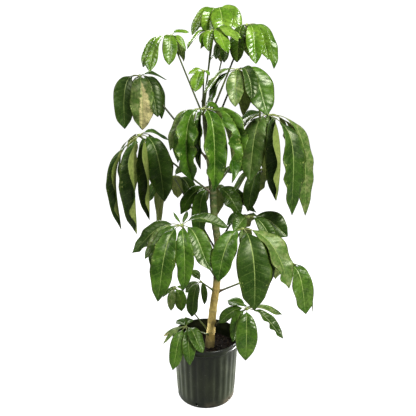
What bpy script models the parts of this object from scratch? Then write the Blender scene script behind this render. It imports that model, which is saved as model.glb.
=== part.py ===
"""A potted umbrella plant: a bare trunk in a ribbed nursery pot, with one whorl of hanging leaflets
at the end of each long leaf stalk.

Units are metres, +Z is up, and the origin is on the surface that the pot stands on, under the pot's
axis. Headings are degrees seen from above: 0 is +X (the plant's right side), 90 is +Y (its back),
180 is its left and 270 is its front.
"""

import math
from collections import namedtuple

import bmesh
import bpy
from mathutils import Vector

# ---------------------------------------------------------------- driving dimensions
GAP = 0.0004  # between pieces that meet

POT_HEIGHT = 0.258
RIM_RADIUS = 0.131
RIM_BAND = 0.024  # height of the stiff band round the mouth
WALL_TOP_RADIUS = 0.1225  # under the band, in the grooves between the ribs
WALL_FOOT_RADIUS = 0.1125
POT_WALL = 0.0022
POT_FLOOR = 0.0030
RIBS = 28
RIB_HEIGHT = 0.0020
RIB_START, RIB_END = 0.027, 0.222
RIB_FADE = 0.005
CORNER = 0.011  # chamfer between the wall and the foot
DRAIN_HOLES = 5
DRAIN_RADIUS = 0.006
DRAIN_HEIGHT = 0.017
FIRST_DRAIN = 251  # its heading in degrees; the rest follow evenly round the foot

SOIL_TOP = 0.205
TRUNK_FOOT = 0.085  # the cutting was planted this high above the ground

# Trunk: height, sideways place and radius. It leans right, then back over the pot, then left.
TRUNK = (
    (TRUNK_FOOT, 0.012, 0.0170),
    (0.214, 0.016, 0.0185),
    (0.290, 0.021, 0.0158),
    (0.380, 0.029, 0.0145),
    (0.450, 0.039, 0.0142),
    (0.560, 0.046, 0.0138),
    (0.640, 0.044, 0.0135),
    (0.730, 0.031, 0.0132),
    (0.870, 0.022, 0.0125),
    (1.017, 0.004, 0.0095),
    (1.134, -0.008, 0.0055),
    (1.160, -0.009, 0.0030),
)
TRUNK_SIDES = 12

STALK_SIDES = 6
STALK_SPANS = 4
STALK_FOOT = 1.35  # how much thicker a leaf stalk is where it meets the trunk
STALK_BOW = 0.012  # how far a leaf stalk sags or lifts off a straight line, as a share of its length

Size = namedtuple("Size", "stalk_radius hub_radius")
MATURE = Size(0.0034, 0.0066)
YOUNG = Size(0.0028, 0.0050)

PETIOLULE = 0.14  # share of a leaflet's length that is its own thin stalk
PETIOLULE_RADIUS = 0.0015
HUB_ROOT = 0.7  # each petiolule starts this share of the hub's radius from its middle
BLADE_THICKNESS = 0.0011
BLADE_STATIONS = (0.0, 0.18, 0.48, 0.80, 1.0)
TIP_WIDTH = 0.0012
FOLD_LIMIT = 0.5  # a folded blade is at most 1 / this times its thickness at its midrib
WIDEST_AT = 1.06  # above 1 puts the widest place past the middle of the blade
FLESHINESS = 0.62  # below 1 rounds the outline
LIGHT_TURN = 32  # a hanging blade turns this much towards the light at the front
TURN_BY = 0.45  # share of its length by which a leaflet has made its turn
LEAVE_PULL, ARRIVE_PULL = 0.42, 0.36  # how straight a leaflet leaves its hub and reaches its tip
HANG = 0.30  # how much steeper than its chord a leaflet hangs at its tip

# One leaflet: where its tip hangs, seen from the hub, how wide it is, how far its blade turns
# about its midrib, how steeply it leaves the hub, how far each half folds up from the midrib, and
# how much further one half folds over the other: the right half, or the left one if it is negative.
Leaflet = namedtuple("Leaflet", "heading reach drop width turn lift fold flap", defaults=(0, 12, 18, 0))
# One leaf: the height on the trunk where its stalk starts, its hub, and its leaflets.
Leaf = namedtuple("Leaf", "node hub size leaflets")

LEAVES = {
    "crown": Leaf(1.142, (0.038, 0.050, 1.450), YOUNG, (
        Leaflet(180, 0.082, 0.084, 0.036, -30, 34),
        Leaflet(236, 0.046, 0.082, 0.066, -10, 26),
        Leaflet(284, 0.075, 0.090, 0.074, 0, 26),
        Leaflet(326, 0.088, 0.066, 0.058, 10, 34),
        Leaflet(356, 0.088, 0.050, 0.046, 0, 44),
        Leaflet(40, 0.078, 0.052, 0.046, 0, 50),
        Leaflet(88, 0.076, 0.060, 0.050, 0, 25),
        Leaflet(136, 0.076, 0.056, 0.048, 0, 30),
    )),
    "top_front": Leaf(1.128, (0.021, -0.060, 1.374), YOUNG, (
        Leaflet(190, 0.080, 0.056, 0.038, 20, 12, 30),
        Leaflet(228, 0.045, 0.048, 0.036),
        Leaflet(256, 0.044, 0.064, 0.036),
        Leaflet(300, 0.094, 0.074, 0.046, 0, 16),
        Leaflet(322, 0.100, 0.038, 0.046, 0, 24),
        Leaflet(352, 0.096, 0.020, 0.040, 0, 24),
        Leaflet(22, 0.080, 0.006, 0.032, 0, 25),
        Leaflet(66, 0.070, 0.050, 0.036),
        Leaflet(122, 0.066, 0.054, 0.036),
    )),
    "top_right": Leaf(1.070, (0.137, 0.000, 1.396), MATURE, (
        Leaflet(224, 0.044, 0.118, 0.060, 10, 14),
        Leaflet(294, 0.066, 0.124, 0.060, 0, 14, 24),
        Leaflet(328, 0.084, 0.110, 0.046, 10, 18, 26),
        Leaflet(352, 0.094, 0.139, 0.052, 10, 24, 22),
        Leaflet(30, 0.086, 0.110, 0.046, 0, 14),
        Leaflet(80, 0.078, 0.096, 0.046),
        Leaflet(140, 0.064, 0.090, 0.046),
    )),
    "upper_left": Leaf(1.105, (-0.113, -0.050, 1.360), YOUNG, (
        Leaflet(22, 0.062, -0.008, 0.030, 0, 50),
        Leaflet(338, 0.052, 0.048, 0.028, 0, 14, 35),
        Leaflet(268, 0.050, 0.092, 0.050, 0, 16),
        Leaflet(226, 0.089, 0.116, 0.054, 10, 14),
        Leaflet(196, 0.090, 0.100, 0.044),
        Leaflet(160, 0.080, 0.076, 0.040),
        Leaflet(100, 0.058, 0.080, 0.044),
        Leaflet(56, 0.064, 0.080, 0.040),
    )),
    "young_shoot": Leaf(1.150, (-0.006, -0.095, 1.250), YOUNG, (
        Leaflet(190, 0.050, 0.010, 0.034, 0, 45),
        Leaflet(238, 0.048, 0.064, 0.044),
        Leaflet(320, 0.024, 0.014, 0.016, 0, 30),
    )),
    "left_high": Leaf(0.950, (-0.232, 0.060, 1.233), MATURE, (
        Leaflet(212, 0.064, 0.180, 0.076, -25, 20, 12),
        Leaflet(280, 0.050, 0.184, 0.080, 0, 12, 20),
        Leaflet(322, 0.082, 0.138, 0.062),
        Leaflet(14, 0.070, 0.150, 0.050, 40),
        Leaflet(42, 0.120, 0.014, 0.038, 0, 25),
        Leaflet(104, 0.070, 0.150, 0.060),
        Leaflet(158, 0.082, 0.150, 0.060),
    )),
    "left_mid": Leaf(0.830, (-0.225, -0.060, 1.040), MATURE, (
        Leaflet(22, 0.112, 0.026, 0.040, 0, 38),
        Leaflet(322, 0.112, 0.211, 0.084, 15, 12, 14),
        Leaflet(296, 0.080, 0.270, 0.074, 12, 8, 14, 88),
        Leaflet(264, 0.076, 0.325, 0.094, 0, 0, 14, 78),
        Leaflet(214, 0.080, 0.318, 0.060, -28, -22, 14, 84),
        Leaflet(168, 0.068, 0.230, 0.050, 0, -10),
        Leaflet(118, 0.086, 0.280, 0.060),
        Leaflet(60, 0.076, 0.384, 0.094),
    )),
    "centre_front": Leaf(0.985, (-0.009, -0.170, 1.135), MATURE, (
        Leaflet(160, 0.096, 0.160, 0.060, -20),
        Leaflet(188, 0.104, 0.127, 0.050, -10, 12, 26),
        Leaflet(208, 0.084, 0.162, 0.050, 0, 12, 30),
        Leaflet(236, 0.050, 0.214, 0.074, 10, 14, 44),
        Leaflet(264, 0.050, 0.180, 0.048, 30, 14, 50),
        Leaflet(292, 0.085, 0.243, 0.078, -10, 14, 44),
        Leaflet(318, 0.114, 0.218, 0.078, -10, 14, 44),
        Leaflet(340, 0.120, 0.156, 0.066, 0, 16, 38),
        Leaflet(28, 0.104, 0.058, 0.066, 0, 50),
        Leaflet(134, 0.060, 0.150, 0.050),
        Leaflet(58, 0.080, 0.130, 0.056),
    )),
    "right_mid": Leaf(0.845, (0.217, 0.000, 1.103), MATURE, (
        Leaflet(158, 0.124, 0.040, 0.052, 0, 22),
        Leaflet(200, 0.116, 0.062, 0.034, 40, 12, 35),
        Leaflet(234, 0.113, 0.214, 0.086, 0, 12, 12),
        Leaflet(268, 0.044, 0.086, 0.034, 0, 12, 35),
        Leaflet(282, 0.112, 0.276, 0.096, 14, 5, 14, 92),
        Leaflet(322, 0.108, 0.343, 0.096, 6, -12, 16),
        Leaflet(352, 0.104, 0.270, 0.066, -60, 0, 14),
        Leaflet(8, 0.150, 0.368, 0.072, 42, 4, 14),
        Leaflet(42, 0.110, 0.240, 0.056),
        Leaflet(84, 0.100, 0.240, 0.060),
    )),
    "right_high": Leaf(1.015, (0.102, -0.100, 1.253), MATURE, (
        Leaflet(200, 0.116, 0.070, 0.046, 20, 22, 24),
        Leaflet(168, 0.104, 0.070, 0.040, 0, 25),
        Leaflet(184, 0.104, 0.130, 0.050, 0, 0),
        Leaflet(262, 0.068, 0.111, 0.056, 0, 12, 20),
        Leaflet(304, 0.066, 0.092, 0.052, 20, 36, 30),
        Leaflet(340, 0.098, 0.140, 0.092, 20, 30, 10),
        Leaflet(24, 0.088, 0.166, 0.060),
        Leaflet(70, 0.070, 0.150, 0.054),
    )),
    "upper_back": Leaf(1.060, (0.072, 0.120, 1.352), YOUNG, (
        Leaflet(350, 0.050, 0.064, 0.034),
        Leaflet(312, 0.056, 0.072, 0.034, 20),
        Leaflet(262, 0.040, 0.074, 0.036),
        Leaflet(214, 0.044, 0.062, 0.036),
        Leaflet(160, 0.056, 0.064, 0.038),
        Leaflet(104, 0.066, 0.070, 0.040),
        Leaflet(48, 0.060, 0.066, 0.038),
    )),
    "centre_back": Leaf(0.730, (0.027, 0.100, 0.824), MATURE, (
        Leaflet(186, 0.126, 0.104, 0.056, -20),
        Leaflet(222, 0.066, 0.196, 0.066),
        Leaflet(330, 0.120, 0.092, 0.070, 15),
        Leaflet(4, 0.170, 0.104, 0.048, 15),
        Leaflet(44, 0.118, 0.130, 0.056),
        Leaflet(80, 0.116, 0.138, 0.056),
        Leaflet(110, 0.106, 0.122, 0.052),
    )),
    "right_back": Leaf(0.640, (0.219, 0.140, 0.883), MATURE, (
        Leaflet(178, 0.176, 0.022, 0.042, 0, 15, 35),
        Leaflet(204, 0.126, 0.078, 0.040, 20, 12, 40),
        Leaflet(234, 0.104, 0.144, 0.058, -20),
        Leaflet(46, 0.102, 0.138, 0.054),
        Leaflet(92, 0.118, 0.124, 0.056),
        Leaflet(136, 0.128, 0.104, 0.054),
    )),
    "left_back": Leaf(0.600, (-0.126, 0.180, 0.847), MATURE, (
        Leaflet(342, 0.100, 0.116, 0.056, 20),
        Leaflet(30, 0.058, -0.036, 0.034, 0, 60),
        Leaflet(88, 0.120, 0.120, 0.056),
        Leaflet(136, 0.124, 0.106, 0.056),
        Leaflet(186, 0.118, 0.110, 0.052),
    )),
    "low_left": Leaf(0.500, (-0.077, -0.200, 0.765), MATURE, (
        Leaflet(12, 0.154, 0.020, 0.052, 0, 46),
        Leaflet(318, 0.122, 0.124, 0.068, 10),
        Leaflet(274, 0.096, 0.186, 0.058, 0, 12, 24),
        Leaflet(240, 0.144, 0.212, 0.074),
        Leaflet(214, 0.118, 0.126, 0.058),
        Leaflet(196, 0.122, 0.104, 0.056, -10),
        Leaflet(172, 0.172, 0.104, 0.066, -10, 16),
        Leaflet(146, 0.034, -0.040, 0.010, 0, 50),
        Leaflet(62, 0.036, -0.040, 0.016, 0, 50),
    )),
    "low_right": Leaf(0.555, (0.121, -0.200, 0.753), MATURE, (
        Leaflet(230, 0.126, 0.144, 0.074, 0, 15),
        Leaflet(262, 0.036, 0.048, 0.022),
        Leaflet(284, 0.130, 0.226, 0.106, 0, 12, 14),
        Leaflet(325, 0.176, 0.166, 0.090, 0),
        Leaflet(346, 0.092, 0.196, 0.060, 25),
        Leaflet(70, 0.064, 0.070, 0.044),
    )),
    "mid_right": Leaf(0.610, (0.156, 0.000, 0.735), MATURE, (
        Leaflet(176, 0.078, 0.034, 0.056, 0, 20),
        Leaflet(222, 0.076, 0.040, 0.050),
        Leaflet(332, 0.108, 0.084, 0.056, 20),
        Leaflet(354, 0.146, 0.070, 0.080, 20, 18),
        Leaflet(48, 0.118, 0.084, 0.058),
        Leaflet(96, 0.120, 0.088, 0.060),
    )),
    "far_right": Leaf(0.440, (0.299, -0.020, 0.561), MATURE, (
        Leaflet(312, 0.096, 0.168, 0.082, 10),
        Leaflet(350, 0.104, 0.188, 0.034, -20, 12, 35),
        Leaflet(54, 0.082, 0.110, 0.046),
        Leaflet(108, 0.078, 0.098, 0.046),
        Leaflet(222, 0.034, 0.030, 0.020),
    )),
    "base_back_left": Leaf(0.270, (-0.124, 0.080, 0.417), YOUNG, (
        Leaflet(304, 0.050, 0.080, 0.048),
        Leaflet(252, 0.044, 0.078, 0.034),
        Leaflet(200, 0.050, 0.032, 0.018),
        Leaflet(106, 0.060, 0.056, 0.036),
        Leaflet(40, 0.056, 0.054, 0.036),
    )),
    "sprout_left": Leaf(0.446, (-0.018, -0.030, 0.492), YOUNG, (
        Leaflet(238, 0.062, 0.114, 0.052, 0, 12, 30),
        Leaflet(196, 0.060, 0.036, 0.036),
        Leaflet(154, 0.042, -0.038, 0.034, 0, 60),
        Leaflet(292, 0.034, 0.076, 0.026, 0, 12, 35),
    )),
    "base_left": Leaf(0.262, (-0.073, -0.100, 0.343), YOUNG, (
        Leaflet(240, 0.092, 0.128, 0.052),
        Leaflet(280, 0.090, 0.102, 0.048),
        Leaflet(312, 0.090, 0.066, 0.054, 0, 22),
        Leaflet(200, 0.088, 0.052, 0.020),
        Leaflet(180, 0.086, 0.036, 0.018),
        Leaflet(128, 0.060, -0.002, 0.036, 0, 40),
        Leaflet(72, 0.058, 0.000, 0.036, 0, 40),
    )),
    "base_right": Leaf(0.300, (0.154, -0.050, 0.392), MATURE, (
        Leaflet(264, 0.082, 0.166, 0.080, 0, 12, 14),
        Leaflet(220, 0.066, 0.114, 0.050),
        Leaflet(188, 0.108, 0.050, 0.050, 0, 22),
        Leaflet(150, 0.082, -0.010, 0.044, 0, 42),
        Leaflet(330, 0.146, 0.084, 0.046, -20, 12, 30),
        Leaflet(4, 0.132, 0.034, 0.032, 0, 15, 35),
        Leaflet(80, 0.072, 0.032, 0.040),
    )),
}

# Colours: red, green, blue, and the roughness that goes with them.
POT_BLACK = ((0.030, 0.033, 0.030), 0.45)
SOIL_BROWN = ((0.020, 0.015, 0.010), 0.95)
BARK_TAN = ((0.330, 0.220, 0.085), 0.75)
STALK_OLIVE = ((0.055, 0.075, 0.020), 0.50)
LEAF_GREEN = ((0.045, 0.150, 0.025), 0.38)
SHOOT_GREEN = ((0.140, 0.360, 0.035), 0.35)


# ---------------------------------------------------------------- helpers
def material(name, finish):
    """A Principled material of one colour and roughness, made once per name."""
    made = bpy.data.materials.get(name)
    if made is None:
        colour, roughness = finish
        made = bpy.data.materials.new(name)
        made.use_nodes = True
        shader = made.node_tree.nodes["Principled BSDF"]
        shader.inputs["Base Color"].default_value = (*colour, 1.0)
        shader.inputs["Roughness"].default_value = roughness
        shader.inputs["Metallic"].default_value = 0.0
        made.diffuse_color = (*colour, 1.0)
    return made


def mesh_object(name, build, finish):
    """An object whose mesh build(bm) fills in, with its normals facing out."""
    bm = bmesh.new()
    build(bm)
    bmesh.ops.triangulate(bm, faces=bm.faces[:], quad_method="SHORT_EDGE")
    bmesh.ops.recalc_face_normals(bm, faces=bm.faces)
    mesh = bpy.data.meshes.new(name)
    bm.to_mesh(mesh)
    bm.free()
    mesh.shade_smooth()
    mesh.set_sharp_from_angle(angle=math.radians(35))
    made = bpy.data.objects.new(name, mesh)
    made.data.materials.append(material(*finish))
    bpy.context.scene.collection.objects.link(made)
    return made


def as_tool(made):
    """Marks an object as a cutter or a piece of a union, which isn't a node of its own."""
    made.hide_render = True
    made.display_type = "WIRE"
    return made


def boolean(target, tool, operation):
    modifier = target.modifiers.new(operation.lower() + "_" + tool.name, "BOOLEAN")
    modifier.operation = operation
    modifier.solver = "EXACT"
    if isinstance(tool, bpy.types.Collection):
        modifier.operand_type = "COLLECTION"
        modifier.collection = tool
    else:
        modifier.object = tool


def heading_vector(degrees):
    return Vector((math.cos(math.radians(degrees)), math.sin(math.radians(degrees)), 0.0))


def bezier(points, t):
    """The point and the direction at share t of a cubic Bezier curve."""
    a, b, c, d = points
    s = 1.0 - t
    place = a * s**3 + b * 3 * s * s * t + c * 3 * s * t * t + d * t**3
    slope = (b - a) * s * s + (c - b) * 2 * s * t + (d - c) * t * t
    return place, slope.normalized()


def skin_rings(bm, rings):
    """Closed rings of vertices joined into a tube, with a flat cap at each end."""
    for lower, upper in zip(rings, rings[1:]):
        for i, corner in enumerate(lower):
            after = (i + 1) % len(lower)
            bm.faces.new((corner, lower[after], upper[after], upper[i]))
    bm.faces.new(rings[0])
    bm.faces.new(list(reversed(rings[-1])))


def tube(name, stations, sides, finish):
    """A round tube. Each station is its centre, its direction and its radius."""
    def build(bm):
        rings = []
        for centre, direction, radius in stations:
            turn = Vector((0, 0, 1)).rotation_difference(direction)
            rings.append([
                bm.verts.new(centre + turn @ (heading_vector(360 * i / sides) * radius))
                for i in range(sides)
            ])
        skin_rings(bm, rings)

    return mesh_object(name, build, finish)


def lathe(name, profile, segments, finish, swell=None):
    """A solid turned about the Z axis from (radius, height) pairs, bottom to top, closed flat at
    both ends. swell(height, segment) is added to the radius."""
    def build(bm):
        rings = []
        for radius, height in profile:
            rings.append([
                bm.verts.new(
                    heading_vector(360 * i / segments) * (radius + (swell(height, i) if swell else 0.0))
                    + Vector((0, 0, height))
                )
                for i in range(segments)
            ])
        skin_rings(bm, rings)

    return mesh_object(name, build, finish)


# ---------------------------------------------------------------- the pot and its soil
def rib_swell(height, segment):
    """Ribs stand out along the wall: two of every four segments are on the rib."""
    on_rib = segment % 4 in (1, 2)
    return RIB_HEIGHT if on_rib and RIB_START <= height <= RIB_END else 0.0


def wall_radius(height):
    """Radius of the wall's grooves at a height, on the outside."""
    share = (height - CORNER * 2) / (POT_HEIGHT - RIM_BAND - CORNER * 2)
    return WALL_FOOT_RADIUS + (WALL_TOP_RADIUS - WALL_FOOT_RADIUS) * share


def make_pot():
    band_foot = POT_HEIGHT - RIM_BAND
    outside = (
        (WALL_FOOT_RADIUS - CORNER * 0.8, 0.0),
        (WALL_FOOT_RADIUS - CORNER * 0.15, CORNER * 0.8),
        (wall_radius(CORNER * 2), CORNER * 2),
        (wall_radius(RIB_START), RIB_START),
        (wall_radius(RIB_END), RIB_END),
        (wall_radius(RIB_END), RIB_END + RIB_FADE),
        (RIM_RADIUS - 0.003, band_foot),
        (RIM_RADIUS, band_foot + 0.005),
        (RIM_RADIUS, POT_HEIGHT - 0.004),
        (RIM_RADIUS - 0.002, POT_HEIGHT),
    )
    pot = lathe("pot", outside, RIBS * 4, ("pot_black", POT_BLACK), rib_swell)
    inside = (
        (WALL_FOOT_RADIUS - CORNER * 0.8 - POT_WALL, POT_FLOOR),
        (wall_radius(CORNER * 2) - POT_WALL, CORNER * 2),
        (wall_radius(RIB_END) - POT_WALL, RIB_END),
        (RIM_RADIUS - 0.003 - POT_WALL, band_foot + 0.004),
        (RIM_RADIUS - 0.002 - POT_WALL, POT_HEIGHT + 0.01),
    )
    hollow = as_tool(lathe("pot_hollow", inside, 56, ("pot_black", POT_BLACK)))
    boolean(pot, hollow, "DIFFERENCE")
    drains = bpy.data.collections.new("drain_cutters")
    bpy.context.scene.collection.children.link(drains)
    for i in range(DRAIN_HOLES):
        outward = heading_vector(FIRST_DRAIN + 360 * i / DRAIN_HOLES)
        height = Vector((0, 0, DRAIN_HEIGHT))
        ends = [
            (outward * radius + height, outward, DRAIN_RADIUS)
            for radius in (WALL_FOOT_RADIUS - 0.018, WALL_FOOT_RADIUS + 0.012)
        ]
        cutter = as_tool(tube(f"drain_cutter_{i}", ends, 10, ("pot_black", POT_BLACK)))
        bpy.context.scene.collection.objects.unlink(cutter)
        drains.objects.link(cutter)
    boolean(pot, drains, "DIFFERENCE")
    return pot


def trunk_at(height):
    """The trunk's centre and radius at a height."""
    for (z0, x0, r0), (z1, x1, r1) in zip(TRUNK, TRUNK[1:]):
        if height <= z1:
            share = (height - z0) / (z1 - z0)
            return Vector((x0 + (x1 - x0) * share, 0.0, height)), r0 + (r1 - r0) * share
    raise ValueError(f"the trunk ends below {height}")


def trunk_stations(extra_radius=0.0, sink=0.0):
    """Centre, direction and radius at each of the trunk's heights."""
    centres = [Vector((x, 0.0, z)) for z, x, _ in TRUNK]
    centres[0].z -= sink
    stations = []
    for i, (_, _, radius) in enumerate(TRUNK):
        before, after = centres[max(i - 1, 0)], centres[min(i + 1, len(centres) - 1)]
        stations.append((centres[i], (after - before).normalized(), radius + extra_radius))
    return stations


def make_soil():
    """The potting mix fills the pot to a little under the band, with a hole where the trunk is."""
    low = POT_FLOOR + GAP
    clear = POT_WALL + GAP * 2
    profile = (
        (WALL_FOOT_RADIUS - CORNER * 0.8 - clear - 0.001, low),
        (wall_radius(CORNER * 2) - clear, CORNER * 2),
        (wall_radius(SOIL_TOP - 0.004) - clear, SOIL_TOP - 0.004),
        (wall_radius(SOIL_TOP) - clear - 0.008, SOIL_TOP),
    )
    soil = lathe("potting_mix", profile, 56, ("potting_mix", SOIL_BROWN))
    stations = trunk_stations(extra_radius=GAP, sink=GAP)[:4]
    hole = as_tool(tube("trunk_hole", stations, TRUNK_SIDES, ("potting_mix", SOIL_BROWN)))
    boolean(soil, hole, "DIFFERENCE")
    return soil


# ---------------------------------------------------------------- leaf stalks and leaflets
def make_stalk(name, leaf):
    """The long stalk of one leaf, from the trunk's skin to just under its hub."""
    centre, trunk_radius = trunk_at(leaf.node)
    hub = Vector(leaf.hub)
    outward = Vector((hub.x - centre.x, hub.y - centre.y, 0.0)).normalized()
    base_radius = leaf.size.stalk_radius * STALK_FOOT
    start = centre + outward * (trunk_radius + base_radius + GAP)
    along = (hub - start).normalized()
    length = (hub - start).length
    end = hub - along * (leaf.size.hub_radius + GAP * 2)
    bow = Vector((0, 0, -STALK_BOW * length))
    curve = (start, start + along * length * 0.33 + bow, end - along * length * 0.33 + bow * 0.5, end)
    stations = []
    for i in range(STALK_SPANS + 1):
        t = i / STALK_SPANS
        place, direction = bezier(curve, t)
        radius = base_radius + (leaf.size.stalk_radius - base_radius) * min(1.0, t * 3)
        stations.append((place, direction, radius))
    stations[-1] = (end, along, leaf.size.stalk_radius)
    return tube("stalk_" + name, stations, STALK_SIDES, ("leaf_stalk", STALK_OLIVE))


def midrib(hub, leaflet):
    """The Bezier curve of a leaflet: out from the hub, over, and down to its tip."""
    out = heading_vector(leaflet.heading)
    up = Vector((0, 0, 1))
    tip = hub + out * leaflet.reach - up * leaflet.drop
    chord = (tip - hub).length
    chord_angle = math.atan2(-leaflet.drop, leaflet.reach)
    first = math.radians(leaflet.lift)
    last = chord_angle + HANG * (chord_angle - first)
    leave = out * math.cos(first) + up * math.sin(first)
    arrive = out * math.cos(last) + up * math.sin(last)
    return hub, hub + leave * chord * LEAVE_PULL, tip - arrive * chord * ARRIVE_PULL, tip


def blade_half_width(leaflet, share):
    """Half of the blade's width at a share of its length, from its base to its tip."""
    swell = math.sin(math.pi * share**WIDEST_AT) ** FLESHINESS if 0 < share < 1 else 0.0
    return max(leaflet.width / 2 * swell, TIP_WIDTH)


def half_folds(leaflet):
    """How far the left and the right half of a blade fold up from flat, in radians."""
    left = leaflet.fold + max(0, -leaflet.flap)
    right = leaflet.fold + max(0, leaflet.flap)
    return math.radians(left), math.radians(right)


def leaflet_stations(hub, hub_radius, leaflet):
    """Along the leaflet, from its petiolule to its tip: the left margin, the midrib underneath, the
    right margin and the midrib on top."""
    curve = midrib(hub, leaflet)
    level = heading_vector(leaflet.heading + 90)
    folds = half_folds(leaflet)
    turn_by = LIGHT_TURN * math.sin(math.radians(leaflet.heading - 270)) + leaflet.turn
    inside_hub = HUB_ROOT * hub_radius / (curve[1] - hub).length / 3
    stations = []
    shares = [inside_hub] + [PETIOLULE + (1 - PETIOLULE) * s for s in BLADE_STATIONS]
    for t in shares:
        place, direction = bezier(curve, t)
        face = direction.cross(level)
        turn = math.radians(turn_by) * min(1.0, t / TURN_BY)
        across = level * math.cos(turn) + face * math.sin(turn)
        face = face * math.cos(turn) - level * math.sin(turn)
        blade = (t - PETIOLULE) / (1 - PETIOLULE)
        if blade <= 0.001:
            left, right = 0.0, 0.0
            half, thick = PETIOLULE_RADIUS * 1.3, PETIOLULE_RADIUS
        else:
            left, right = folds
            half = blade_half_width(leaflet, blade)
            thick = BLADE_THICKNESS / 2 / max(FOLD_LIMIT, math.cos((left + right) / 2))
        tilt = (right - left) / 2
        normal = face * math.cos(tilt) - across * math.sin(tilt)
        left_margin = place + (face * math.sin(left) - across * math.cos(left)) * half
        right_margin = place + (face * math.sin(right) + across * math.cos(right)) * half
        stations.append((left_margin, place - normal * thick, right_margin, place + normal * thick))
    return stations


def make_leaflet(name, hub, hub_radius, leaflet, finish):
    """One closed leaflet, folded along its midrib, with knife edges."""
    def build(bm):
        stations = leaflet_stations(hub, hub_radius, leaflet)
        skin_rings(bm, [[bm.verts.new(corner) for corner in corners] for corners in stations])

    return mesh_object(name, build, finish)


def make_whorl(name, leaf):
    """All the leaflets of one leaf, grown together at their hub."""
    finish = ("young_leaf", SHOOT_GREEN) if leaf.size is YOUNG else ("mature_leaf", LEAF_GREEN)
    hub = Vector(leaf.hub)

    def build(bm):
        bmesh.ops.create_uvsphere(bm, u_segments=8, v_segments=5, radius=leaf.size.hub_radius)
        bmesh.ops.translate(bm, verts=bm.verts, vec=hub)

    whorl = mesh_object("leaflets_" + name, build, finish)
    pieces = bpy.data.collections.new("pieces_" + name)
    bpy.context.scene.collection.children.link(pieces)
    for i, leaflet in enumerate(leaf.leaflets):
        piece = as_tool(make_leaflet(f"piece_{name}_{i}", hub, leaf.size.hub_radius, leaflet, finish))
        bpy.context.scene.collection.objects.unlink(piece)
        pieces.objects.link(piece)
    boolean(whorl, pieces, "UNION")
    return whorl


def clear_scene():
    for old in list(bpy.data.objects):
        bpy.data.objects.remove(old)


def main():
    clear_scene()
    make_pot()
    make_soil()
    tube("trunk", trunk_stations(), TRUNK_SIDES, ("bark", BARK_TAN))
    for name, leaf in LEAVES.items():
        make_stalk(name, leaf)
        make_whorl(name, leaf)


main()
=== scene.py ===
# %% [markdown]
# # A potted umbrella plant
# An umbrella plant (Schefflera) grows one woody trunk. Long stalks leave the trunk at its nodes,
# and each stalk ends in a hub from which a whorl of leaflets hangs like the cloth of an umbrella.
# This lesson dresses a measured model of such a plant. The measured model gives places and
# sizes, and each cell here makes one kind of piece: the nursery pot, the potting mix, the trunk,
# the stalks and the leaflets. The work is in metres, +Z is up, and the front faces -Y.

# %% Load the measured model
import math
import random
from collections import namedtuple

import bmesh
import bpy
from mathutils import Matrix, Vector, noise
from mathutils.bvhtree import BVHTree


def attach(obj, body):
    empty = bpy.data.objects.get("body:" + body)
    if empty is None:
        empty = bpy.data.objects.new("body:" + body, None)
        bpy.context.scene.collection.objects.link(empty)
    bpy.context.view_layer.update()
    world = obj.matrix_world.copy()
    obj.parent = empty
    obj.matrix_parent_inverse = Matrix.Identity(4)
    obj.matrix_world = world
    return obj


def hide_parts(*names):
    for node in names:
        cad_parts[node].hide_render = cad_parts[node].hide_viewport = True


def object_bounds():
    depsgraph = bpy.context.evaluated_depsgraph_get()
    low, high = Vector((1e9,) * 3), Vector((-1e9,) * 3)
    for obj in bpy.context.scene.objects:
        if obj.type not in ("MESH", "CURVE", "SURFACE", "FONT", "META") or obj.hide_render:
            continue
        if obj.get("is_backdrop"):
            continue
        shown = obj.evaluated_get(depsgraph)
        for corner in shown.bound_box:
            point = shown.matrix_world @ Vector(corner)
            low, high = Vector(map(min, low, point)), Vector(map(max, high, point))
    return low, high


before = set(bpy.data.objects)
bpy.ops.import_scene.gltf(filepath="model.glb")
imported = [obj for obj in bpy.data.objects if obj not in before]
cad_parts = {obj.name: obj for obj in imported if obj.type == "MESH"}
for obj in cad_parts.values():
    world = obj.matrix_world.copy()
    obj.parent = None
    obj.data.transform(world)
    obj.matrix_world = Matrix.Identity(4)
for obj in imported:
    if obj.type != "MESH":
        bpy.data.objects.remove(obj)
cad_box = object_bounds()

print("nodes in the model:", len(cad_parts))
print("its box:", [[round(value, 3) for value in corner] for corner in cad_box])

# %% [markdown]
# ## Helpers for meshes
# Nearly every piece here is a skin over a row of closed rings: a stalk, a trunk, a leaflet and a
# turned pot all are. So one helper joins rings into a closed tube with a cap at each end, and
# one turns the finished lists into an object. Drawing with curves would be quicker for a stalk,
# but rings let the section change from a round stalk to a flat blade without a seam.

# %% Rings, tubes and objects
UP = Vector((0, 0, 1))


def heading_vector(degrees):
    """A level unit vector. 0 is the right side, 90 the back, 180 the left side, 270 the front."""
    return Vector((math.cos(math.radians(degrees)), math.sin(math.radians(degrees)), 0.0))


def circle(sides):
    """Level unit vectors all the way round."""
    return [heading_vector(360 * i / sides) for i in range(sides)]


def smooth(low, high, value):
    """Goes from 0 to 1 as value goes from low to high, with soft ends."""
    share = min(1.0, max(0.0, (value - low) / (high - low)))
    return share * share * (3 - 2 * share)


def add_object(name, data):
    made = bpy.data.objects.new(name, data)
    bpy.context.scene.collection.objects.link(made)
    return made


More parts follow.
